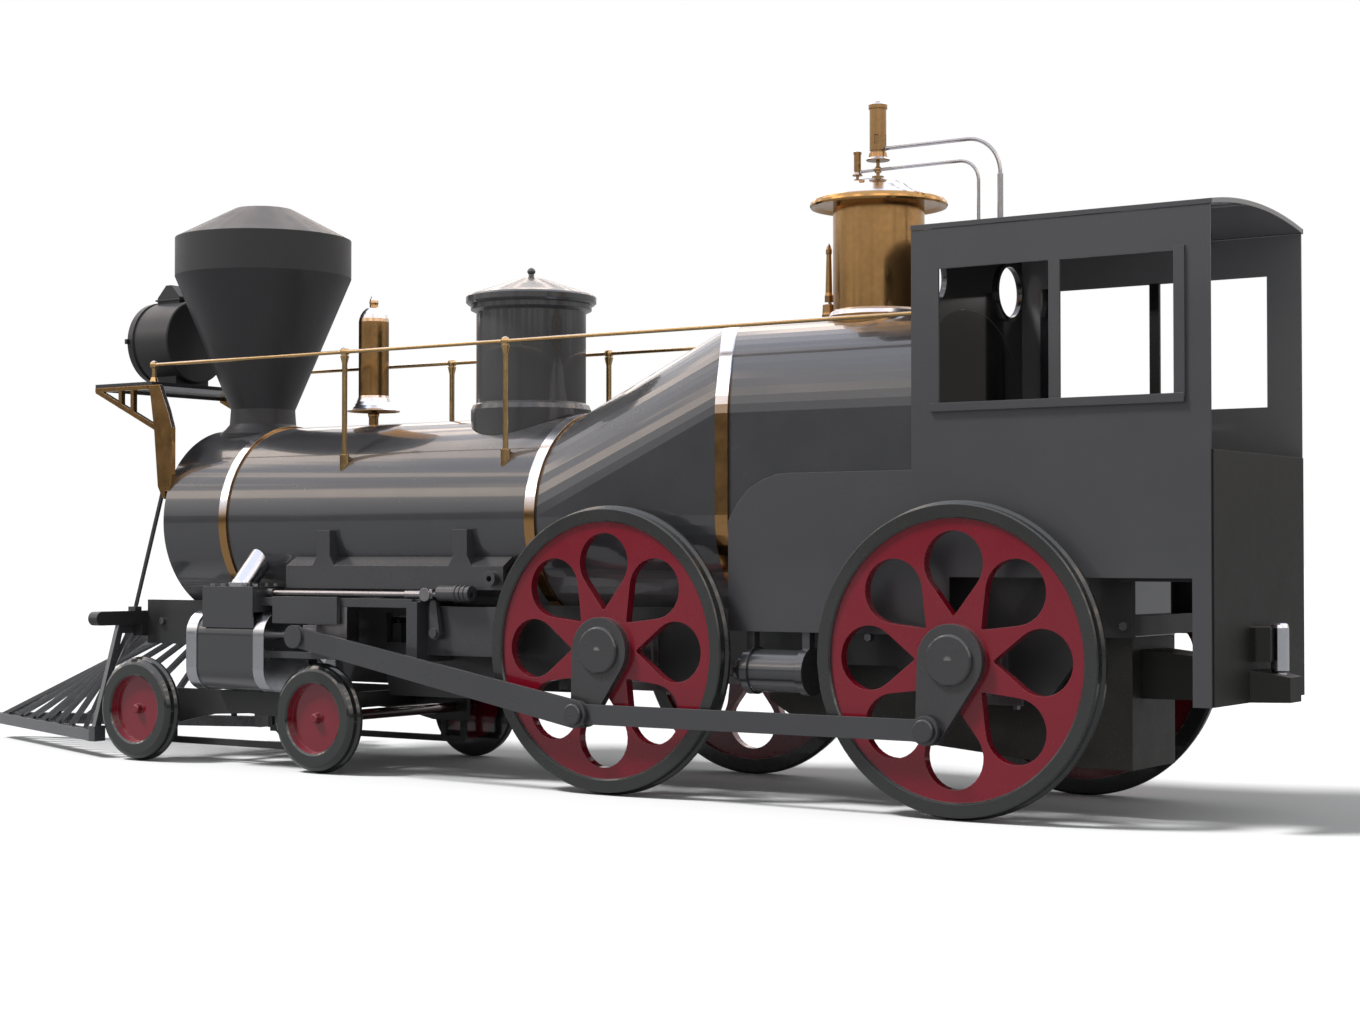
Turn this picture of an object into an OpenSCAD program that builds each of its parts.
// Live steam locomotive, 4-4-0 type, for 184 mm (7 1/4 inch) gauge track.
// Millimetres. +X points forwards, +Y to the locomotive's left, +Z up.
// z = 0 is the plane through the lowest points of the wheel flanges; the
// origin is the bottom centre of the bounding box.
// Inside the modules X is measured from the leading driving axle; placed()
// moves each node into the origin's frame.

/* [Boiler] */
// Height of the boiler centre line
boiler_z = 187; // [186.5:0.1:187.5]
// Outer radius of the boiler barrel
boiler_r = 75; // [74.5:0.1:75]
// Thickness of the barrel and firebox sheets
shell_t = 2.6; // [1.8:0.1:3.4]
// Front end of the smokebox
smokebox_front = 449.5; // [448:0.5:450]
// Height of the firebox crown above its shoulder
crown_h = 66; // [65:0.5:66]
// Width of the polished boiler bands
band_w = 9; // [7:0.5:9]

/* [Chimney and domes] */
// Distance of the chimney axis ahead of the leading driving axle
stack_x = 412.4; // [411:0.2:413]
// Largest radius of the chimney
stack_r = 70.3; // [66:0.1:72]
// Top of the chimney
stack_top = 440; // [436:0.5:442]
// Bore of the chimney pipe, as a radius
stack_bore_r = 17; // [15:0.5:18]
// Distance of the sand dome ahead of the leading driving axle
sand_x = 137.2; // [136:0.2:138]
// Radius of the sand dome body
sand_r = 40.5; // [39:0.5:41]
// Distance of the steam dome behind the leading driving axle
steam_x = 157.5; // [156:0.5:158]
// Radius of the steam dome body
steam_r = 30.5; // [29:0.5:31]

/* [Driving wheels] */
// Height of the driving axles
axle_z = 97; // [97:0.1:97.4]
// Distance between the two driving axles
wheelbase = 262.9; // [262.5:0.1:263.2]
// Radius over the driving wheel flanges
flange_r = 97; // [96:0.1:97]
// Radius of the driving wheel tread
tread_r = 95.2; // [94:0.1:95.2]
// Radius of the driving axles
axle_r = 7; // [6:0.1:7]
// Forward offset of the left crank pins from the axle
pin_dx = 13.9; // [13.5:0.1:14.3]
// Drop of the left crank pins below the axle
pin_dz = 42.6; // [42:0.1:43]
// Radius of the crank pins
pin_r = 5; // [4.5:0.1:5]

/* [Leading truck] */
// Radius over the truck wheel flanges
truck_r = 40.56; // [40:0.02:40.56]
// Distance of the leading truck axle ahead of the leading driving axle
truck_x1 = 455.1; // [454.8:0.1:455.4]
// Distance of the trailing truck axle ahead of the leading driving axle
truck_x2 = 264.8; // [264.5:0.1:265.1]

/* [Cylinders] */
// Height of the cylinder bores
cyl_z = 101; // [100.8:0.1:101.2]
// Radius of the cylinder bores
bore_r = 14; // [13:0.5:14]
// Rest position of the left crosshead pin
crosshead_x = 269.9; // [269.5:0.1:270.3]

/* [Cab] */
// Height of the roof edges
roof_edge_z = 366; // [364:0.5:367]
// Outer half width of the cab and the side sheets
cab_y = 77; // [77:0.1:77.6]
// Thickness of the side sheets
sheet_t = 1.4; // [1:0.1:1.4]

/* [Hidden] */
origin_x = -147;
pilot_tip_x = 735;
tongue_end_x = -441;
shoulder_z = boiler_z + 67;
firebox_r = 75.5;
driving_axles = [0, -wheelbase];
truck_axles = [truck_x1, truck_x2];
// the right cranks stand a quarter turn from the left ones
main_rod_length = norm([crosshead_x - pin_dx, cyl_z - axle_z + pin_dz]);
crosshead_right_x = -pin_dz
  + sqrt(pow(main_rod_length, 2) - pow(cyl_z - axle_z + pin_dx, 2));
cyl_y = 84;
valve_y = 85;
valve_z = 132.5;
// clearances: parts seated on the boiler, turning or sliding parts, rod eyes
seat_gap = 0.03;
running_gap = 0.06;
pin_gap = 0.05;
$fn = 64;
dark = [0.14, 0.145, 0.16];
steel = [0.75, 0.76, 0.78];
brass = [0.72, 0.53, 0.26];
crimson = [0.55, 0.03, 0.09];
copper = [0.72, 0.42, 0.30];

// ---------- helpers ----------
module placed() translate([origin_x, 0, 0]) children();
module right_side() mirror([0, 1, 0]) children();
module both_sides() {
  children();
  right_side() children();
}
module box(x_min, x_max, y_min, y_max, z_min, z_max)
  translate([x_min, y_min, z_min]) cube([x_max - x_min, y_max - y_min, z_max - z_min]);
// cylinders along each axis
module x_cyl(x_min, x_max, radius, y = 0, z = 0)
  translate([x_min, y, z]) rotate([0, 90, 0]) cylinder(h = x_max - x_min, r = radius);
module y_cyl(y_min, y_max, radius, x = 0, z = 0)
  translate([x, y_min, z]) rotate([-90, 0, 0]) cylinder(h = y_max - y_min, r = radius);
module z_cyl(z_min, z_max, radius, x = 0, y = 0)
  translate([x, y, z_min]) cylinder(h = z_max - z_min, r = radius);
module ball(radius, x, y, z) translate([x, y, z]) sphere(r = radius);
// profiles given as [radius, position along the axis], revolved about a line along that axis
module x_turn(z) translate([0, 0, z]) rotate([0, 90, 0]) rotate_extrude() children();
module y_turn(x = 0, z = 0) translate([x, 0, z]) rotate([-90, 0, 0]) rotate_extrude() children();
module z_turn(x, y = 0) translate([x, y, 0]) rotate_extrude() children();
// outline given as [x, z], extruded along Y
module xz_plate(y_min, y_max)
  translate([0, y_max, 0]) rotate([90, 0, 0]) linear_extrude(height = y_max - y_min) children();
// outline given as [y, z], extruded along X
module yz_plate(x_min, x_max)
  translate([x_min, 0, 0]) rotate([90, 0, 90]) linear_extrude(height = x_max - x_min) children();
// turns +Z into the direction from start to end
module aimed(start, end) {
  step = end - start;
  translate(start) rotate([0, acos(step[2] / norm(step)), atan2(step[1], step[0])]) children();
}
module rod(start, end, radius) aimed(start, end) cylinder(h = norm(end - start), r = radius);
module bar(start, end, width, thick)
  aimed(start, end) translate([-thick / 2, -width / 2, 0]) cube([thick, width, norm(end - start)]);
// outline of two circles and their common tangents, the first at the origin
function link_points(near_r, far_r, dx, dy) =
  let (steps = 22, heading = atan2(dy, dx), tangent = acos((near_r - far_r) / norm([dx, dy])))
  concat(
    [for (i = [0:steps])
      let (angle = heading + tangent + (360 - 2 * tangent) * i / steps)
      [near_r * cos(angle), near_r * sin(angle)]],
    [for (i = [0:steps])
      let (angle = heading - tangent + 2 * tangent * i / steps)
      [dx + far_r * cos(angle), dy + far_r * sin(angle)]]);
module link(near_r, far_r, dx, dy) polygon(link_points(near_r, far_r, dx, dy));

// ---------- boiler shapes shared by several nodes ----------
band_t = 1.5;
smokebox_band_x = 376;
smokebox_band_end = smokebox_band_x + band_w - 1;
firebox_band_front = -77;
// section of the firebox wrapper: half circle, flanks, half ellipse; as [y, z]
function firebox_section(grow) = concat(
  [for (angle = [-180:5:0])
    [(firebox_r + grow) * cos(angle), boiler_z + (firebox_r + grow) * sin(angle)]],
  [for (angle = [0:5:180])
    [(firebox_r + grow) * cos(angle), shoulder_z + (crown_h + grow) * sin(angle)]]);
// front edge of the firebox band, leaning forwards above the shoulder
function leaning_x(z) = firebox_band_front
  + (z > shoulder_z ? 27 * pow((z - shoulder_z) / crown_h, 3) : 0);
// everything behind the leaning edge moved by dx
module behind_edge(dx) xz_plate(-90, 90) polygon(concat(
  [[-600, 80], [firebox_band_front + dx, 80]],
  [for (i = [0:24]) let (z = shoulder_z + (crown_h + 6) * i / 24) [leaning_x(z) + dx, z]],
  [[-600, shoulder_z + crown_h + 6]]));
module barrel_solid(grow) x_cyl(-300, 500, boiler_r + grow, 0, boiler_z);
module smokebox_band_recess()
  x_cyl(smokebox_band_x - 0.1, smokebox_band_end + 0.1, boiler_r + band_t + 0.05, 0, boiler_z);
// seat of the fittings on the firebox crown
module crown_seat() intersection() {
  yz_plate(-224, -60) polygon(firebox_section(seat_gap));
  box(-224, -60, -90, 90, 200, 330);
}

// ---------- frames ----------
frame_inner_y = 48;
frame_outer_y = 53;
rear_bolt_x = -355;
lever_x = -336;
lever_z = 131;
drawbar_x = -431.4;
truck_pivot_x = 360;
truck_pivot_r = 6;
pilot_bolt_y = 30;
pilot_bolt_z = 104;
// side view of a frame plate as [x, z]
frame_outline = [[-360, 111], [-360, 149], [-240, 149], [-225, 125], [488, 125], [488, 90],
  [236, 90], [228, 57], [118, 57], [112, 74], [44, 74], [-44, 74], [-60, 90], [-200, 90],
  [-219, 74], [-307, 74], [-322, 94], [-330, 111]];

module frame_plates() color(dark) placed() {
  // pivot of the reversing lever
  box(-342, -330, -frame_outer_y, -frame_inner_y, 124.5, 137);
  y_cyl(-62, -52, 2, lever_x, lever_z);
  both_sides() difference() {
    xz_plate(frame_inner_y, frame_outer_y) polygon(frame_outline);
    // axle box slots
    for (x = driving_axles) box(x - 12, x + 12, 40, 60, 60, 114);
    box(182, 232, 40, 60, 96, 118);
    // holes for the frame stretchers
    for (x = [-180, 70, 310, 470]) y_cyl(47, 54, 1.6, x, 108);
    y_cyl(47, 54, 1.6, rear_bolt_x, 118);
  }
}

module stretcher(x_min, x_max, z_min, z_max)
  box(x_min, x_max, -frame_inner_y, frame_inner_y, z_min, z_max);
module frame_stretchers() color(dark) placed() {
  stretcher(-359, -351.6, 112, 124);
  stretcher(66, 74, 66, 110);
  stretcher(222, 230, 60, 110);
  stretcher(466, 474, 92, 123);
  // smokebox saddle over the truck pivot
  difference() {
    union() {
      stretcher(322, 392, 92, 140);
      // pivot pin of the truck
      z_cyl(38, 92.5, truck_pivot_r, truck_pivot_x);
      z_cyl(50, 54, 9, truck_pivot_x);
    }
    barrel_solid(0.02);
    smokebox_band_recess();
    // pockets
    box(334, 350, -40, 40, 98, 150);
    box(372, 384, -40, 40, 98, 150);
  }
}

module axle_box(x) difference() {
  union() {
    box(x - 12, x + 12, 46, 57, 82, 112);
    // outer flange
    box(x - 16, x + 16, 53, 55.5, 80, 113.5);
    // keeper
    box(x - 26, x + 26, 47, 54, 68, 74);
    // adjusting wedge between box and keeper
    box(x - 9, x + 9, 48.5, 52.5, 74, 82);
  }
  y_cyl(40, 60, axle_r + running_gap, x, axle_z);
}
module axle_boxes() color(steel) placed() both_sides() for (x = driving_axles) axle_box(x);

module rear_beam() color(dark) placed() difference() {
  beam_y = cab_y - 1.5;
  union() {
    box(-420, -412, -beam_y, beam_y, 73, 121);
    // plate closing the cab, with the footplate inside it
    box(-420, -418, -beam_y, beam_y, 73, 221.5);
    box(-418.1, -360.2, -72, 72, 145, 147);
    // coupling block, open at the middle around the drawbar pin
    box(-423.4, -419.9, -19.2, 19.2, 97.3, 117.6);
    both_sides() translate([0, 0, 97.3]) linear_extrude(height = 20.3)
      polygon([[-419.9, 10.8], [-419.9, 19.2], [-430.6, 14.3], [-430.6, 10.8]]);
    // drawbar tongue: a sloping bar ahead of the plate, tapered behind it
    xz_plate(-19, 19) polygon([[-420, 73.4], [-351.6, 73], [-351.6, 103], [-420, 95.5]]);
    intersection() {
      xz_plate(-20, 20)
        polygon([[tongue_end_x, 73], [-419, 73], [-419, 92.4], [tongue_end_x, 88]]);
      linear_extrude(height = 120)
        polygon([[-419, -19.2], [-420, -19.2], [tongue_end_x, -9.5], [tongue_end_x, 9.5],
          [-420, 19.2], [-419, 19.2]]);
    }
  }
  // drawbar pin bore and the seat of the pin head
  z_cyl(60, 95, 4.05, drawbar_x);
  z_cyl(90.4, 97, 5.9, drawbar_x);
}

module pilot_beam() color(dark) placed() difference() {
  union() {
    box(488, 498, -100.5, 100.5, 105, 116);
    // rounded ends
    both_sides() x_cyl(488, 498, 5.5, 100.5, 110.5);
    box(488, 498, -59, 59, 96, 106);
  }
  for (side = [-1, 1]) x_cyl(480, 500, 2.1, side * pilot_bolt_y, pilot_bolt_z);
}

// foot of a slat on the low side bar, t running from the nose to the rear
function slat_foot(t) = [pilot_tip_x - 6 - t * 225, 4 + t * 88, 20.5];
module pilot() color(dark) placed() difference() {
  union() {
    both_sides() {
      // low side bars of the V, cut at the centre plane
      difference() {
        bar([506, 92, 17.5], [731, 3, 17.5], 8, 9);
        box(490, 760, -20, 0, 0, 40);
      }
      // corner block
      box(500, 507, 86, 97, 12, 25);
      // fanned slats
      for (i = [0:6]) bar([499.5, 6 + i * 9, 103.5], slat_foot(0.04 + i * 0.142), 5, 3.4);
      // corner uprights
      bar([500.5, 71, 104], [506, 92, 18], 6, 5);
    }
    // head rail against the beam
    box(498, 502, -74, 74, 98, 108);
    // nose block
    xz_plate(-5, 5)
      polygon([[722, 13], [pilot_tip_x, 13], [pilot_tip_x, 21], [722, 22]]);
  }
  // flat underside and flat back
  box(490, 760, -120, 120, 0, 13);
  box(480, 498.03, -120, 120, 90, 120);
}

// ---------- boiler ----------
door_hinge_x = smokebox_front + 3;
door_hinge_y = -57.2;
pipe_x = 348.7;
fire_hole_z = 206;
fire_hinge_x = -353.4;
fire_hinge_y = 24.5;
throttle_z = 238;

module boiler_barrel() color(dark) placed() difference() {
  hinge_heights = [boiler_z - 34, boiler_z + 34];
  inner_r = boiler_r - shell_t;
  union() {
    x_turn(boiler_z) polygon([[inner_r, 74.5], [boiler_r, 74.5], [boiler_r, smokebox_front - 3],
      [boiler_r - 3, smokebox_front], [46, smokebox_front], [46, smokebox_front - 4],
      [inner_r, smokebox_front - 4]]);
    // lugs of the door hinge
    for (z = hinge_heights) box(smokebox_front - 0.5, smokebox_front + 5, -60, -54.5, z - 4, z + 4);
  }
  // chimney opening
  z_cyl(240, 280, 14.9, stack_x);
  for (z = hinge_heights) z_cyl(z - 8, z + 8, 1.55, door_hinge_x, door_hinge_y);
  // steam pipe openings
  both_sides() rod([pipe_x, 85, 137], [pipe_x, 45, 181.4], 9.3);
  // hole for the blast pipe
  z_cyl(100, 120, 6.05, stack_x);
}

module taper_solid(grow) hull() {
  x_cyl(74, 74.45, boiler_r + grow, 0, boiler_z);
  intersection() {
    yz_plate(-79, -49) polygon(firebox_section(grow));
    behind_edge(1);
  }
}
module wagon_top() color(dark) placed() difference() {
  taper_solid(0);
  taper_solid(-shell_t);
  behind_edge(0.02);
  // plain joint with the barrel
  x_cyl(66, 90, boiler_r - shell_t, 0, boiler_z);
}

// section of the low firebox end inside the cab, with a foot at foot_z; as [y, z]
function cab_end_section(grow, foot_z) = concat(
  [[-33.4 - grow, foot_z], [33.4 + grow, foot_z], [33.4 + grow, 158], [46 + grow, 172]],
  [for (angle = [0:7.5:180]) [(46 + grow) * cos(angle), 212 + (37 + grow) * sin(angle)]],
  [[-46 - grow, 172], [-33.4 - grow, 158]]);
module firebox_wrapper() color(dark) placed() difference() {
  union() {
    intersection() {
      yz_plate(-226, -40) polygon(firebox_section(0));
      behind_edge(0);
    }
    yz_plate(-351.4, -225.9) polygon(cab_end_section(0, 110.6));
    // hinge lugs and pin of the fire door
    box(-356, -351.3, 22, 27, 194.5, 198.6);
    box(-356, -351.3, 22, 27, 213.4, 217.5);
    z_cyl(195, 217, 1, fire_hinge_x, fire_hinge_y);
  }
  intersection() {
    yz_plate(-223.6, -30) polygon(firebox_section(-shell_t - 2.4));
    behind_edge(9);
  }
  yz_plate(-348.6, -220) polygon(cab_end_section(-1.5, 105));
  // open bottom over the ashpan
  box(-348.6, -88.5, -31.9, 31.9, 100, 128);
  // fire hole
  x_cyl(-353, -340, 15, 0, fire_hole_z);
  // steam dome opening
  z_cyl(290, 330, 22, -steam_x);
  // throttle gland
  x_cyl(-360, -340, 2.55, 0, throttle_z);
}

module ring_band(x_min, x_max) difference() {
  x_cyl(x_min, x_max, boiler_r + band_t, 0, boiler_z);
  x_cyl(x_min - 1, x_max + 1, boiler_r + seat_gap, 0, boiler_z);
}
module boiler_bands() color(brass) placed() {
  ring_band(smokebox_band_x, smokebox_band_end);
  ring_band(74.6, 74.6 + band_w);
  // leaning band of the firebox
  difference() {
    intersection() {
      yz_plate(-100, -40) polygon(firebox_section(band_t));
      behind_edge(0);
    }
    yz_plate(-110, -30) polygon(firebox_section(0.05));
    behind_edge(-10);
  }
}

// three rows of five boiler tubes
module tube_grid(x_min, x_max, radius)
  for (row = [0:2], column = [-2:2]) x_cyl(x_min, x_max, radius, column * 12.8, 170 + row * 16);
module blast_pipe() difference() {
  union() {
    z_cyl(105, 205, 6, stack_x);
    // nozzle
    z_turn(stack_x) polygon([[0, 200], [6, 200], [4.6, 226], [0, 226]]);
    // flange on the smokebox floor
    difference() {
      z_cyl(108, 121, 12, stack_x);
      difference() {
        barrel_solid(40);
        x_cyl(300, 460, boiler_r - shell_t - 0.02, 0, boiler_z);
      }
    }
  }
  z_cyl(100, 230, 3.4, stack_x);
}
module boiler_tubes() color(copper) placed() {
  blast_pipe();
  difference() {
    union() {
      // front tube plate
      x_cyl(335, 339, boiler_r - shell_t - 0.05, 0, boiler_z);
      tube_grid(-89.8, 343, 5);
    }
    tube_grid(-95, 350, 3.8);
  }
}

module inner_firebox() color(copper) placed() difference() {
  union() {
    box(-338, -90, -31.5, 31.5, 110.6, 226);
    // fire hole ring
    x_cyl(-348.55, -337, 17, 0, fire_hole_z);
  }
  difference() {
    box(-335, -93, -28.5, 28.5, 100, 223);
    // grate bars left standing in the hollow
    for (y = [-24:6:24]) box(-336, -92, y - 1.5, y + 1.5, 112, 117);
  }
  x_cyl(-360, -330, 14.9, 0, fire_hole_z);
  tube_grid(-95, -85, 5.02);
}

module ashpan() color(dark) placed() difference() {
  xz_plate(-33, 33) polygon([[-351.4, 30], [-351.4, 110.5], [-92, 110.5], [-92, 64],
    [-120, 48], [-320, 30]]);
  difference() {
    xz_plate(-31, 31) polygon([[-349.4, 32.2], [-349.4, 120], [-94, 120], [-94, 65.2],
      [-121, 50.2], [-320, 32.2]]);
    // walls of the tunnel around the trailing axle
    box(-wheelbase - 14, -wheelbase + 14, -40, 40, 82, 110.5);
  }
  box(-wheelbase - 12, -wheelbase + 12, -40, 40, 84, 108.5);
}

module stack() color(dark) placed() difference() {
  cone_inner_r = stack_r - 3.5;
  z_turn(stack_x) polygon([[0, 250], [34, 250], [34, 258], [30, 261.5], [26.5, 265.6],
    [25.6, 277.7], [stack_r, stack_top - 55.4], [stack_r, stack_top - 24.6],
    [23.5, stack_top], [0, stack_top]]);
  barrel_solid(seat_gap);
  smokebox_band_recess();
  // straight bore and the hollow of the spark cone
  z_cyl(240, 460, stack_bore_r, stack_x);
  z_turn(stack_x) polygon([[0, 288], [24, 288], [cone_inner_r, stack_top - 54],
    [cone_inner_r, stack_top - 26.5], [30, stack_top - 6], [0, stack_top - 6]]);
}

// ---------- boiler mountings; profiles as [radius, z] ----------
rear_whistle_x = -157;
front_whistle_x = -141.2;
rear_pipe_x = -247.4;
front_pipe_x = -231.8;
front_pipe_z = 418;
pipe_foot_z = 371.2;
safety_x = -118.8;
bell_x = 293;
sand_lid_z = 345.5;
dome_cap_z = 395;
dome_inner_r = steam_r - 2.5;
dome_cap_top = 412;

module sand_dome() color(dark) placed() difference() {
  z_turn(sand_x) polygon([[0, 244], [44.4, 244], [44.4, 267.5], [43, 271], [sand_r, 272.5],
    [sand_r, 339.5], [44.7, 341.5], [44.7, sand_lid_z], [0, sand_lid_z]]);
  barrel_solid(seat_gap);
  z_cyl(275, 350, 37.5, sand_x);
}
module sand_dome_lid() color(dark) placed() difference() {
  z_turn(sand_x) polygon([[0, sand_lid_z], [46.6, sand_lid_z], [48.2, 347], [48.2, 351],
    [46.8, 352.4], [42, 354], [26, 359.6], [12, 364.4], [4, 366.6], [2.2, 367.4], [2, 368.6],
    [2.9, 369.6], [3.1, 370.8], [2.6, 372.2], [1.4, 373.2], [0, 373.5]]);
  z_turn(sand_x) polygon([[0, 340], [37, 340], [37, 349], [24, 355], [0, 359]]);
}

module steam_dome() color(brass) placed() difference() {
  z_turn(-steam_x) polygon([[0, 300], [33.5, 300], [33.5, 319.5], [32.5, 322],
    [steam_r, 323.5], [steam_r, dome_cap_z], [0, dome_cap_z]]);
  crown_seat();
  z_cyl(290, 391, dome_inner_r, -steam_x);
}
module steam_dome_cap() color(steel) placed() difference() {
  z_turn(-steam_x) polygon([[0, dome_cap_z], [34, dome_cap_z], [40, 394.2], [43.6, 392.4],
    [45.3, 392.3], [46, 393.6], [45.7, 395.2], [44.6, 396.8], [42, 398.6], [38, 401],
    [32, 404.4], [25, 407.5], [17, 409.9], [9, 411.4], [5, 411.8], [5, dome_cap_top],
    [0, dome_cap_top]]);
  z_cyl(390, 397, dome_inner_r, -steam_x);
  // sockets of the two whistles
  z_cyl(404, 420, 1.22, rear_whistle_x);
  z_cyl(404, 420, 1.02, front_whistle_x);
}

rear_whistle_profile = [[0, 406], [1.2, 406], [1.2, 412.1], [4, 412.1], [4, 413.6], [1.2, 414],
  [1.2, 423.6], [3, 423.8], [7.6, 424], [8, 424.6], [6.4, 426], [5.8, 429.4], [4.9, 429.6],
  [4.9, 430.6], [5.6, 430.8], [5.6, 458.4], [6.3, 458.8], [6.3, 461.4], [5.4, 462.2],
  [1.6, 462.2], [1.6, 463.6], [0, 464]];
front_whistle_profile = [[0, 406], [1, 406], [1, 410.4], [2.2, 410.4], [2.2, 413], [1, 413.2],
  [1, 415.2], [3.4, 415.4], [3.4, 416], [2.6, 417.6], [2, 417.8], [2, 418.4], [2.4, 418.6],
  [2.4, 429.8], [2.8, 430], [2.8, 431.4], [2, 431.9], [0, 432]];
module whistles() color(brass) placed() {
  difference() {
    union() {
      // boss cross drilled for the front whistle's pipe
      ball(2.7, rear_whistle_x, 0, front_pipe_z);
      z_turn(rear_whistle_x) polygon(rear_whistle_profile);
    }
    x_cyl(-162, -152, 1.13, 0, front_pipe_z);
    // four notches around the bell of the whistle
    for (angle = [0:90:270]) translate([rear_whistle_x, 0, 434]) rotate([0, 0, angle + 20])
      translate([4.2, -1.4, 0]) cube([3, 2.8, 7]);
  }
  z_turn(front_whistle_x) polygon(front_whistle_profile);
}

// level pipe running back from start_x, quarter bend and drop to the roof
module bent_pipe(start_x, drop_x, level_z, bend_r, radius) {
  bend_x = drop_x + bend_r;
  x_cyl(bend_x, start_x, radius, 0, level_z);
  translate([bend_x, 0, level_z - bend_r]) rotate([90, 0, 0]) rotate([0, 0, 90])
    rotate_extrude(angle = 90) translate([bend_r, 0]) circle(r = radius);
  z_cyl(pipe_foot_z, level_z - bend_r, radius, drop_x);
}
module whistle_pipes() color(steel) placed() {
  bent_pipe(-162.8, rear_pipe_x, 431.8, 24, 1.3);
  z_cyl(pipe_foot_z, 407, 1.9, rear_pipe_x);
  bent_pipe(-144.4, front_pipe_x, front_pipe_z, 14, 1.1);
  // feet on the roof
  z_cyl(pipe_foot_z, 376, 2.6, front_pipe_x);
  z_cyl(pipe_foot_z, 376, 3.2, rear_pipe_x);
}

module safety_valve() color(brass) placed() difference() {
  z_turn(safety_x) polygon([[0, 310], [4.8, 310], [4.8, 323], [4.5, 324.4], [4.2, 330],
    [2.9, 331.4], [2.9, 336], [2.4, 338], [1.7, 364], [2.1, 365], [2.1, 367.4], [1.2, 370],
    [0, 372]]);
  crown_seat();
  z_cyl(300, 355, 0.9, safety_x);
}

bell_outside = [[0, 272.4], [20.1, 272], [20.4, 272.8], [18.4, 274], [15.6, 276.6],
  [13.4, 279.6], [12.2, 282.6], [11.7, 284.4], [11.7, 342], [11.3, 344.6], [10.2, 347.6],
  [8.4, 350.4], [6, 352.6], [3.4, 353.8], [3.2, 355.6], [3.6, 357], [3.3, 359], [2, 362],
  [0.6, 363.4], [0, 363.4]];
bell_inside = [[0, 270], [19.2, 270], [18.6, 272.6], [14.2, 276], [11.2, 281], [9.9, 286],
  [9.9, 341], [8.6, 345.6], [5.2, 350], [1.6, 351], [0, 351]];
module bell() color(brass) placed() {
  difference() {
    z_turn(bell_x) polygon(bell_outside);
    z_turn(bell_x) polygon(bell_inside);
  }
  // stem standing on the barrel
  difference() {
    union() {
      z_cyl(257, 271, 3.7, bell_x);
      ball(4.4, bell_x, 0, 270);
      z_cyl(270, 351.5, 1.5, bell_x);
    }
    barrel_solid(seat_gap);
  }
}

// ---------- headlamp, rails, brackets ----------
lamp_z = 337;
lamp_hinge_x = 533;
lamp_hinge_y = -36.2;
lamp_bolt_x = 500;
shelf_z = 296;
rail_y = 62;
rail_z = 313;
rail_front_x = 472;

module headlamp_body() color(dark) placed() difference() {
  hinge_heights = [lamp_z - 11, lamp_z + 11];
  union() {
    // drum with a rear plate and a rolled front ring, as [radius, x]
    x_turn(lamp_z) polygon([[0, 488], [33, 488], [34, 489], [34, 525], [33.2, 526],
      [33.2, 527.6], [34.6, 528.2], [34.6, 531.4], [0, 531.4]]);
    // vent cap on the crown
    xz_plate(-10.8, 10.8) polygon([[498, 366], [498, 374.5], [508, 384.6], [514, 384.6],
      [524, 374.5], [524, 366]]);
    box(496.6, 525.4, -12, 12, 371.6, 373);
    // saddle on the shelf
    box(494, 524, -18, 18, 299, 312);
    // door hinge lugs
    for (z = hinge_heights) {
      box(529, 534.2, -38, -34.4, z - 3, z + 3);
      box(526, 531, -38, -31, z - 3, z + 3);
    }
  }
  x_turn(lamp_z) polygon([[0, 490.5], [31.5, 490.5], [31.5, 540], [0, 540]]);
  z_cyl(360, 380, 5, 511);
  for (z = hinge_heights) z_cyl(z - 5, z + 5, 1.05, lamp_hinge_x, lamp_hinge_y);
  z_cyl(295, 305, 1.6, lamp_bolt_x);
}
module headlamp_door() color(brass) placed() {
  // rim and glass
  x_turn(lamp_z)
    polygon([[26, 531.7], [34.2, 531.7], [34.2, 534.4], [32, 536.6], [26, 536.6]]);
  x_turn(lamp_z) polygon([[0, 533], [27, 533], [27, 534.6], [16, 536.4], [0, 537]]);
  // hinge straps, knuckle and pin
  for (z = [lamp_z - 5, lamp_z + 5]) box(531.9, 534.2, -38, -32, z - 2.8, z + 2.8);
  z_cyl(lamp_z - 7.7, lamp_z + 7.7, 1.9, lamp_hinge_x, lamp_hinge_y);
  z_cyl(lamp_z - 15.5, lamp_z + 15.5, 1, lamp_hinge_x, lamp_hinge_y);
  // tab on the left edge
  box(532, 534.5, 32, 37, lamp_z - 2, lamp_z + 2);
}
module lamp_shelf() color(dark) placed() difference() {
  union() {
    box(465, 531, -70.8, 70.8, shelf_z, shelf_z + 3);
    // lip under the leading edge
    box(528.5, 531, -66, 66, shelf_z - 2.5, shelf_z);
  }
  z_cyl(290, 300, 1.6, lamp_bolt_x);
  both_sides() z_cyl(290, 300, 1.5, 474, 68);
}

// side view of the main bracket plate as [x, z]
bracket_outline = [[469.5, 296], [466.9, 290.7], [462, 260.4], [457.5, 215.2], [452.4, 206.2],
  [447.8, 204.3], [444.4, 209], [441.8, 224.6], [441.9, 261.6], [447, 276], [454.5, 292],
  [456, 296]];
module lamp_brackets() color(brass) placed() both_sides() difference() {
  union() {
    xz_plate(67, 71) polygon(bracket_outline);
    // truss under the shelf
    bar([461, 69, 262], [530, 69, 294], 4, 4);
    box(470, 531, 67, 71, shelf_z - 3, shelf_z);
    box(486, 489.5, 67, 71, 273, shelf_z);
    box(500, 503.5, 67, 71, 279, shelf_z);
  }
  x_cyl(-300, smokebox_front + 0.02, boiler_r + seat_gap, 0, boiler_z);
}

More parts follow.
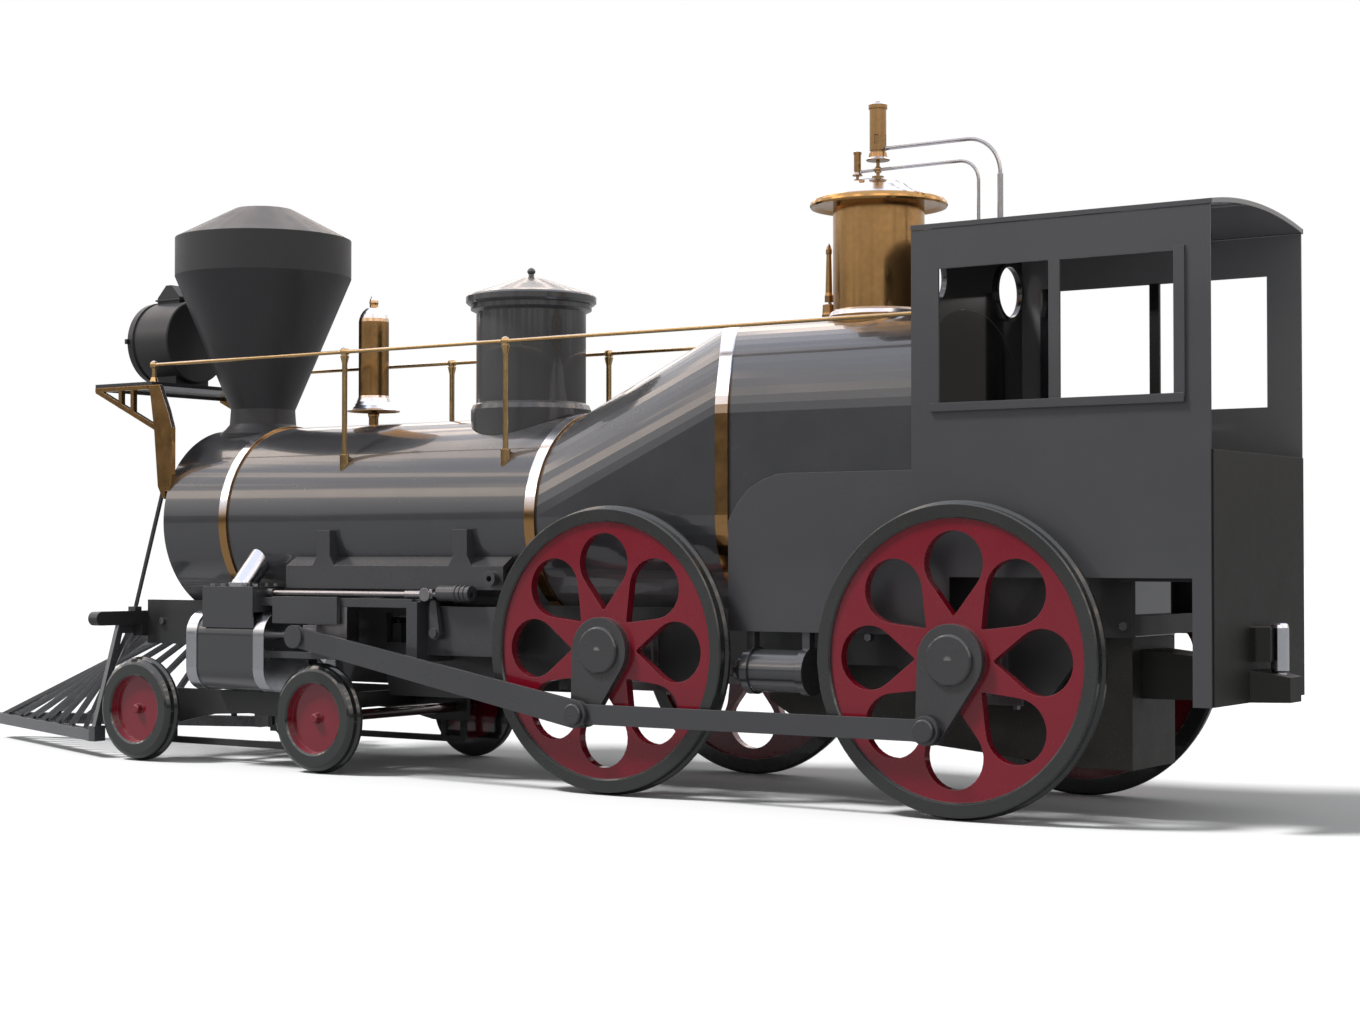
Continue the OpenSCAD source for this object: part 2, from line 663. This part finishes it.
// stanchion with a ball head and a foot on the barrel
module post(x) {
  difference() {
    z_cyl(225, 311, 2, x, rail_y);
    barrel_solid(seat_gap);
  }
  ball(3.6, x, rail_y, rail_z);
  difference() {
    z_cyl(223, 236, 3.6, x, rail_y);
    barrel_solid(seat_gap);
  }
  z_turn(x, rail_y) polygon([[0, 304], [2, 304], [3.4, 310], [0, 310]]);
}
module handrails() color(brass) placed() both_sides() {
  post(266);
  post(111.5);
  x_cyl(-223.9, rail_front_x, 1.4, rail_y, rail_z);
  // front post standing on the lamp shelf
  ball(3.4, rail_front_x, rail_y, rail_z);
  z_cyl(299, 312, 1.9, rail_front_x, rail_y);
  z_turn(rail_front_x, rail_y) polygon([[0, 299], [3.6, 299], [2.4, 303], [0, 303]]);
  // flange on the cab front
  x_cyl(-223.9, -222, 3.4, rail_y, rail_z);
}
module smokebox_braces() color(dark) placed() both_sides() difference() {
  union() {
    rod([456.5, 66, 213], [493, 62, 116.4], 1.7);
    ball(3.2, 456.5, 66, 213);
    x_cyl(smokebox_front, 456.5, 1.6, 66, 213);
    box(489, 497, 58.5, 65.5, 116, 119.5);
  }
  box(480, 500, 50, 70, 110, 116);
  // clearance to the lamp bracket
  box(438, 474, 66.96, 74, 200, 300);
}

// ---------- cylinders ----------
cyl_rear_x = 322;
cyl_front_x = 382;
chest_front_x = 375;
chest_top_z = 137;
rocker_x = 157;
rocker_z = 105;
guide_z = 89;
boss_x = 107;

// cylinder block as [y, z], with rounded outer corners
module cyl_outline(grow) difference() {
  translate([53, 58 - grow]) square([47 + grow, 60 + 2 * grow]);
  translate([82 + grow, 56 - grow]) difference() {
    square([30, 20]);
    translate([0, 20]) circle(r = 18);
  }
  translate([82 + grow, 100 + grow]) difference() {
    square([30, 20]);
    circle(r = 18);
  }
}
module cylinders() color(dark) placed() both_sides() difference() {
  yz_plate(cyl_rear_x, cyl_front_x) cyl_outline(0);
  x_cyl(300, 400, bore_r + running_gap, cyl_y, cyl_z);
  // steam ports up to the chest
  for (x = [330, 366]) box(x - 2, x + 2, 78, 90, 112, 125);
}
module cylinder_covers() color(steel) placed() both_sides() {
  // leading cover
  difference() {
    union() {
      yz_plate(cyl_front_x, 393) cyl_outline(0.8);
      // boss around the end of the ram
      x_cyl(392.9, 402.5, 6.4, cyl_y, cyl_z);
    }
    x_cyl(380, 386, bore_r + running_gap, cyl_y, cyl_z);
    x_cyl(385, 401, 4, cyl_y, cyl_z);
  }
  // trailing cover, bored for the ram
  difference() {
    yz_plate(311, cyl_rear_x) cyl_outline(0.8);
    x_cyl(318, 324, bore_r + running_gap, cyl_y, cyl_z);
    x_cyl(300, 330, 3.56, cyl_y, cyl_z);
  }
}
module steam_chests() color(dark) placed() both_sides() difference() {
  union() {
    box(cyl_rear_x, chest_front_x, 68, 98, 118.1, chest_top_z);
    // apron over the cylinder barrel
    box(322.1, chest_front_x, 98, 101.2, 118.1, chest_top_z);
    box(322.1, chest_front_x, 100.05, 101.2, 106, 118.2);
    // gland of the valve rod
    x_cyl(315.5, 322.5, 3.2, valve_y, valve_z);
  }
  box(327, 370, 73, 94, 121, 134);
  x_cyl(310, 373, 2.06, valve_y, valve_z);
  rod([pipe_x, 85, 130], [pipe_x, 85, 140], 5);
  barrel_solid(0.1);
}
module steam_pipes() color(steel) placed() both_sides() difference() {
  union() {
    rod([pipe_x, 85, chest_top_z], [pipe_x, 60.5, 164.2], 9.2);
    ball(9.2, pipe_x, 85, chest_top_z);
    z_cyl(chest_top_z, 140, 11, pipe_x, 85);
  }
  box(330, 370, 60, 110, 120, chest_top_z);
  rod([pipe_x, 86, 136], [pipe_x, 50, 176], 7);
}
module guide_bars() color(steel) placed() both_sides() {
  box(176, 322, 78, 92, 122.9, 129.2);
  box(168, 311, 78, 92, 84, guide_z - 0.1);
  difference() {
    union() {
      // yoke carried by the frame, with the rocker bearing behind it
      box(168, 178, frame_outer_y, 92, 84, 129.2);
      box(100, 170, frame_outer_y, 80, 96, 124);
      box(107, 170, frame_outer_y, 80, 89, 97);
      y_cyl(frame_outer_y, 80, 7, 107, 96);
    }
    y_cyl(52, 95, 3.56, rocker_x, rocker_z);
    // relief for the valve rod's knuckle pin
    box(167, 172.8, 88, 93, 127.2, 130);
  }
  // plate outside the crosshead
  box(242, 307, 92, 95.6, 110, 130);
}
module running_boards() color(dark) placed() both_sides() difference() {
  union() {
    box(99, 308, 76.4, 80, 136, 153);
    yz_plate(99, 308)
      polygon([[76.4, 136], [79.9, 136], [79.9, 152.9], [69, 160], [66, 158], [76.4, 150]]);
    // brackets up to the barrel
    for (x = [270.5, 138.5]) {
      box(x - 6.5, x + 6.5, 66, 80, 152, 179);
      xz_plate(76.4, 80)
        polygon([[x - 11, 152.5], [x + 11, 152.5], [x + 6.5, 160], [x - 6.5, 160]]);
    }
    // bored boss on the outer face
    y_cyl(78, 86, 5.2, boss_x, 144);
    // ribbed tail guide of the valve rod
    x_cyl(123, 152.5, 5.5, valve_y, 133.5);
    for (x = [127, 131, 135]) x_cyl(x, x + 2, 6.1, valve_y, 133.5);
    box(124, 149, 79, 82, 132, 138);
  }
  barrel_solid(seat_gap);
  x_cyl(120, 155, 2.06, valve_y, valve_z);
  y_cyl(77, 90, 2.2, boss_x, 144);
}

// ---------- cab ----------
cab_front_x = -224;
cab_inner_y = cab_y - sheet_t;
roof_axis_z = roof_edge_z - 452.8;
roof_outer_r = 459.3;
roof_inner_r = roof_outer_r - 3;
round_window_y = 54;
round_window_z = 336.6;
air_y = 70.5;
air_z = 85.6;
air_r = 14;
// side sheet as [x, z]
side_outline = [[-87.6, 111], [-87.6, 183], [-94.3, 194.1], [-103.5, 203.9], [-115.2, 209.9],
  [-125.2, 213], [-133.5, 213.6], [cab_front_x, 213.6], [cab_front_x, roof_edge_z - 3.3],
  [-419, roof_edge_z - 3.3], [-419, 72.7], [-407.4, 72.7], [-407.4, 147], [-250, 147],
  [-250, 111]];

module cab_walls() color(dark) placed() {
  both_sides() {
    difference() {
      xz_plate(cab_inner_y, cab_y) polygon(side_outline);
      // side window with a mullion
      box(-317.4, -243.2, 70, 80, 254.4, 337.6);
      box(-396.8, -324.7, 70, 80, 254.4, 337.6);
    }
    // raised strips behind and below the window
    box(-404, -397.2, cab_y, cab_y + 1.6, 252, 340);
    box(-403.7, -237.7, cab_y, cab_y + 2.4, 249.2, 254.4);
    // post inside the mullion
    box(-324.4, -318, cab_y - 2.2, cab_inner_y, 250, 338);
  }
  // guide strip of the right-hand sliding pane
  box(-252.8, -240, -cab_inner_y, -cab_inner_y + 1.6, 249, 339.4);
  // front wall around the firebox
  difference() {
    intersection() {
      box(-226, cab_front_x, -cab_inner_y, cab_inner_y, 213.6, 380);
      x_cyl(-230, -220, roof_inner_r - 0.1, 0, roof_axis_z);
    }
    yz_plate(-230, -220) polygon(firebox_section(0.06));
    both_sides() x_cyl(-230, -220, 17, round_window_y, round_window_z);
  }
  // rims of the round windows
  both_sides() difference() {
    x_cyl(-228, -226, 19.6, round_window_y, round_window_z);
    x_cyl(-230, -220, 17, round_window_y, round_window_z);
  }
}
module cab_roof() color(dark) placed() {
  difference() {
    intersection() {
      box(-420, -223.8, -cab_y - 0.4, cab_y + 0.4, 330, 400);
      x_cyl(-430, -210, roof_outer_r, 0, roof_axis_z);
    }
    x_cyl(-440, -200, roof_inner_r, 0, roof_axis_z);
    // seats of the whistle pipes
    z_cyl(360, 380, 3.3, rear_pipe_x);
    z_cyl(360, 380, 2.7, front_pipe_x);
  }
  // roof carlines
  for (x = [-300, -360]) intersection() {
    box(x - 1.5, x + 1.5, -cab_y + 4.6, cab_y - 4.6, 340, 380);
    difference() {
      x_cyl(-430, -210, roof_inner_r + 0.05, 0, roof_axis_z);
      x_cyl(-440, -200, 453, 0, roof_axis_z);
    }
  }
  // roof hatch
  box(-346, -330, -9, 9, 371, 374.2);
}

module air_cylinders() color(dark) placed() both_sides() {
  difference() {
    union() {
      x_cyl(-149, -107, air_r, air_y, air_z);
      translate([0, air_y, 0]) x_turn(air_z)
        polygon([[0, -107], [10, -107], [10, -96], [8.4, -92.6], [5, -91], [0, -91]]);
    }
    x_cyl(-146, -112, air_r - 2, air_y, air_z);
  }
  // clamp rings with straps up to the side sheet
  for (x = [-107, -149]) {
    difference() {
      box(x, x + 5.5, 69, cab_inner_y, 96, 122);
      x_cyl(x - 1, x + 7, air_r + 0.02, air_y, air_z);
    }
    difference() {
      x_cyl(x, x + 5.5, air_r + 1.6, air_y, air_z);
      x_cyl(x - 1, x + 7, air_r + 0.02, air_y, air_z);
    }
  }
}

module frame_bolt(x, z)
  translate([x, frame_outer_y, z]) rotate([-90, 30, 0]) cylinder(h = 2.4, r = 2.8, $fn = 6);
module upright_nut(x, y, z, radius, height)
  translate([x, y, z]) cylinder(h = height, r = radius, $fn = 6);
module fasteners() color(steel) placed() both_sides() {
  // steam chest cover nuts
  for (x = [326, 337, 360, 371], y = [72, 94]) upright_nut(x, y, chest_top_z, 2.2, 2);
  // keeper nuts under the axle boxes
  for (axle_x = driving_axles, dx = [-20, 20]) upright_nut(axle_x + dx, 50.5, 65.6, 2.4, 2.4);
  // frame stretcher bolts
  for (x = [-180, 70, 470]) frame_bolt(x, 108);
  frame_bolt(rear_bolt_x, 118);
  // pilot beam bolt
  translate([485.6, pilot_bolt_y, pilot_bolt_z]) rotate([0, 90, 0])
    cylinder(h = 2.4, r = 3, $fn = 6);
}

// ---------- doors and controls ----------
module smokebox_door() color(dark) placed() {
  front = smokebox_front;
  x_turn(boiler_z) polygon([[0, front + 0.2], [50, front + 0.2], [50.4, front + 1.6],
    [49, front + 3], [40, front + 4.4], [20, front + 6], [0, front + 6.4]]);
  // hinge straps, knuckle and pin
  for (z = [boiler_z - 23, boiler_z + 23]) box(front + 1.4, front + 4.6, -58.6, -20, z - 3, z + 3);
  z_cyl(boiler_z - 29.6, boiler_z + 29.6, 2.8, door_hinge_x, door_hinge_y);
  z_cyl(boiler_z - 39, boiler_z + 39, 1.5, door_hinge_x, door_hinge_y);
  // closing dart
  x_cyl(front + 6, front + 12, 3, 0, boiler_z);
  x_cyl(front + 12, front + 14, 5, 0, boiler_z);
  translate([front + 10, 0, boiler_z]) rotate([35, 0, 0])
    translate([-1.2, 0, -1.2]) cube([2.4, 22, 2.4]);
}
module drawbar_pin() color(steel) placed() {
  z_cyl(72.9, 92, 4, drawbar_x);
  z_turn(drawbar_x) polygon([[0, 90.5], [4.6, 90.5], [5.4, 91.6], [5.4, 117.2], [4.9, 119],
    [3.6, 119.9], [0, 120]]);
}
module throttle_lever() color(steel) placed() {
  x_cyl(-360, -330, 2.5, 0, throttle_z);
  x_cyl(-359, -353, 6, 0, throttle_z);
  bar([-356, 0, throttle_z], [-356, 40, 231], 4, 3);
  ball(3.6, -356, 41, 230.8);
}
module reverse_lever() color(steel) placed() difference() {
  union() {
    y_cyl(-60, -56, 6, lever_x, lever_z);
    bar([lever_x, -58, lever_z], [lever_x, -58, 214], 4, 5);
    ball(4, lever_x, -58, 216);
    // thin strip behind the lever
    bar([-339.6, -58, 186], [-337.5, -58, 208], 3, 1.4);
  }
  y_cyl(-70, -50, 2.06, lever_x, lever_z);
}
module fire_door() color(dark) placed() difference() {
  union() {
    x_cyl(-354.6, -351.5, 17.5, 0, fire_hole_z);
    // hinge strap and knuckle
    box(-354.6, -352, 10, 24.5, 201, 211);
    z_cyl(199, 213, 1.85, fire_hinge_x, fire_hinge_y);
    // knob
    x_cyl(-357.6, -354.4, 2, -12, fire_hole_z);
  }
  z_cyl(190, 230, 1.06, fire_hinge_x, fire_hinge_y);
}

// ---------- wheels and motion; wheel profiles as [radius, y] ----------
// left driving wheel: crank pin offset [dx, dz], pin ending at y = pin_end
module driver(dx, dz, pin_end) {
  difference() {
    union() {
      // rim, web and hub
      y_turn() polygon([[86, 86.5], [flange_r - 1.6, 86.5], [flange_r, 88], [flange_r, 90.4],
        [tread_r, 92], [tread_r, 97.2], [tread_r - 0.8, 98], [87, 98], [86, 97]]);
      y_turn() polygon([[0, 89], [86.2, 89], [86.2, 95.8], [0, 95.8]]);
      y_cyl(84.5, 96, 19);
    }
    // teardrop openings
    for (angle = [0:45:315]) rotate([0, angle, 0]) xz_plate(80, 99)
      translate([0, 58.6]) link(20, 1.2, 0, -30.4);
    y_cyl(80, 96, axle_r);
  }
  // crank web, hub cap, pin and pin collar
  xz_plate(95.8, 101.5) link(22, 9.5, dx, dz);
  y_turn() polygon([[0, 101], [15.7, 101], [15.7, 103], [14.6, 103.9], [0, 104]]);
  y_cyl(101, pin_end, pin_r, dx, dz);
  y_turn(dx, dz) polygon([[0, pin_end], [6.8, pin_end], [7, pin_end + 0.6],
    [7, pin_end + 1.8], [6.2, pin_end + 2.5], [0, pin_end + 2.5]]);
}
module driver_pair(x, pin_end) translate([x, 0, axle_z]) {
  driver(pin_dx, -pin_dz, pin_end);
  right_side() driver(-pin_dz, -pin_dx, pin_end);
}
module front_drivers() color(crimson) placed() driver_pair(0, 111);
module rear_drivers() color(crimson) placed() driver_pair(-wheelbase, 107.7);
module front_axle() color(steel) placed() {
  y_cyl(-95.5, 95.5, axle_r, 0, axle_z);
  // eccentric sheaves
  both_sides() {
    y_cyl(18, 24, 10.6, 3, axle_z + 1);
    y_cyl(28, 34, 10.6, -3, axle_z + 1);
  }
}
module rear_axle() color(steel) placed() y_cyl(-95.5, 95.5, axle_r, -wheelbase, axle_z);

module coupling_rod(dx, dz) translate([dx, 0, axle_z + dz]) difference() {
  union() {
    xz_plate(104.4, 107.4)
      polygon([[-wheelbase, -6.7], [0, -6.7], [0, 6.7], [-wheelbase, 6.7]]);
    for (x = driving_axles) y_cyl(104.4, 107.4, 9, x);
  }
  for (x = driving_axles) y_cyl(100, 110, pin_r + pin_gap, x);
}
module coupling_rod_left() color(dark) placed() coupling_rod(pin_dx, -pin_dz);
module coupling_rod_right() color(dark) placed() right_side() coupling_rod(-pin_dz, -pin_dx);

module main_rod(dx, dz, wrist_x) difference() {
  union() {
    translate([dx, 0, axle_z + dz]) xz_plate(107.8, 110.8)
      link(9.4, 7.4, wrist_x - dx, cyl_z - axle_z - dz);
    // wrist boss
    y_cyl(107.8, 112.8, 8.4, wrist_x, cyl_z);
  }
  y_cyl(100, 115, pin_r + pin_gap, dx, axle_z + dz);
}
module main_rod_left() color(dark) placed() main_rod(pin_dx, -pin_dz, crosshead_x);
module main_rod_right() color(dark) placed() right_side()
  main_rod(-pin_dz, -pin_dx, crosshead_right_x);

module crosshead(x) {
  // slipper between the guide bars
  box(x - 34, x + 4.5, 78.5, 91.5, guide_z, 122.8);
  // lug outside the guides, ending in the wrist pin seat
  box(x - 9, x + 4.5, 91, 97, 93, 109);
  y_cyl(96.9, 107.4, 5.8, x, cyl_z);
  // ram: piston rod running through the trailing cover
  x_cyl(x, x + 95, 3.5, cyl_y, cyl_z);
}
module crosshead_left() color(steel) placed() crosshead(crosshead_x);
module crosshead_right() color(steel) placed() right_side() crosshead(crosshead_right_x);

module valve_rod() {
  x_cyl(127, 345, 2, valve_y, valve_z);
  // knuckle and its pin
  box(157, 168, 81.6, 88.4, 129.6, 136.4);
  x_cyl(168, 184, 2.9, valve_y, valve_z);
  y_cyl(88.4, 90.6, 4.8, 162.5, valve_z);
  // slide valve
  box(336, 352, 76, 92, 122, valve_z);
}
module valve_rod_left() color(steel) placed() valve_rod();
module valve_rod_right() color(steel) placed() right_side() valve_rod();

module rocker() {
  y_cyl(54, 88, 3.5, rocker_x, rocker_z);
  translate([rocker_x, 0, rocker_z]) xz_plate(82, 86) link(4.6, 3, 1.5, 20.8);
}
module rocker_left() color(dark) placed() rocker();
module rocker_right() color(dark) placed() right_side() rocker();

// ---------- leading truck ----------
truck_axle_r = 4;

module truck_frame() color(dark) placed() difference() {
  union() {
    both_sides() {
      difference() {
        xz_plate(62, 66) polygon([[truck_x2 - 15, 30], [truck_x2 - 15, 56],
          [truck_x1 + 15, 56], [truck_x1 + 15, 30], [truck_x1 - 20, 30], [400, 37],
          [360, 39], [320, 37], [truck_x2 + 20, 30]]);
        for (x = truck_axles) y_cyl(55, 70, truck_axle_r + running_gap, x, truck_r);
      }
      // lower tie bar and its hangers
      box(truck_x2 - 10, truck_x1 + 10, 62.5, 65.5, 13, 18);
      for (x = truck_axles, dx = [-10, 10]) box(x + dx - 2.5, x + dx + 2.5, 62.5, 65.5, 16, 31);
    }
    // bolster, and cross rails between the axles
    box(346, 374, -62, 62, 41, 49.5);
    box(truck_x1 - 44, truck_x1 - 38, -62, 62, 42, 54);
    box(truck_x2 + 38, truck_x2 + 44, -62, 62, 42, 54);
  }
  z_cyl(30, 60, truck_pivot_r + 0.08, truck_pivot_x);
}
module truck_wheelset(x) {
  both_sides() {
    y_turn(x, truck_r) polygon([[0, 85.5], [truck_r - 1.2, 85.5], [truck_r, 86.8],
      [truck_r, 89], [38.8, 90.6], [38.8, 94.6], [36.6, 96.6], [34.8, 97.4], [27.4, 97.4],
      [26, 96.4], [25, 91.4], [7, 91.4], [0, 91.4]]);
    // hub cap
    y_turn(x, truck_r) polygon([[0, 91.2], [4.4, 91.2], [3.4, 95.4], [2.6, 96], [0, 96]]);
  }
  y_cyl(-88, 88, truck_axle_r, x, truck_r);
}
module truck_wheels_front() color(crimson) placed() truck_wheelset(truck_x1);
module truck_wheels_rear() color(crimson) placed() truck_wheelset(truck_x2);

frame_plates();
frame_stretchers();
axle_boxes();
rear_beam();
pilot_beam();
pilot();
boiler_barrel();
wagon_top();
firebox_wrapper();
boiler_bands();
boiler_tubes();
inner_firebox();
ashpan();
stack();
sand_dome();
sand_dome_lid();
steam_dome();
steam_dome_cap();
whistles();
whistle_pipes();
safety_valve();
bell();
headlamp_body();
lamp_shelf();
lamp_brackets();
handrails();
smokebox_braces();
cylinders();
cylinder_covers();
steam_chests();
steam_pipes();
guide_bars();
running_boards();
cab_walls();
cab_roof();
air_cylinders();
fasteners();
smokebox_door();
headlamp_door();
drawbar_pin();
throttle_lever();
reverse_lever();
fire_door();
front_drivers();
front_axle();
rear_drivers();
rear_axle();
coupling_rod_left();
coupling_rod_right();
main_rod_left();
main_rod_right();
crosshead_left();
crosshead_right();
valve_rod_left();
valve_rod_right();
rocker_left();
rocker_right();
truck_frame();
truck_wheels_front();
truck_wheels_rear();
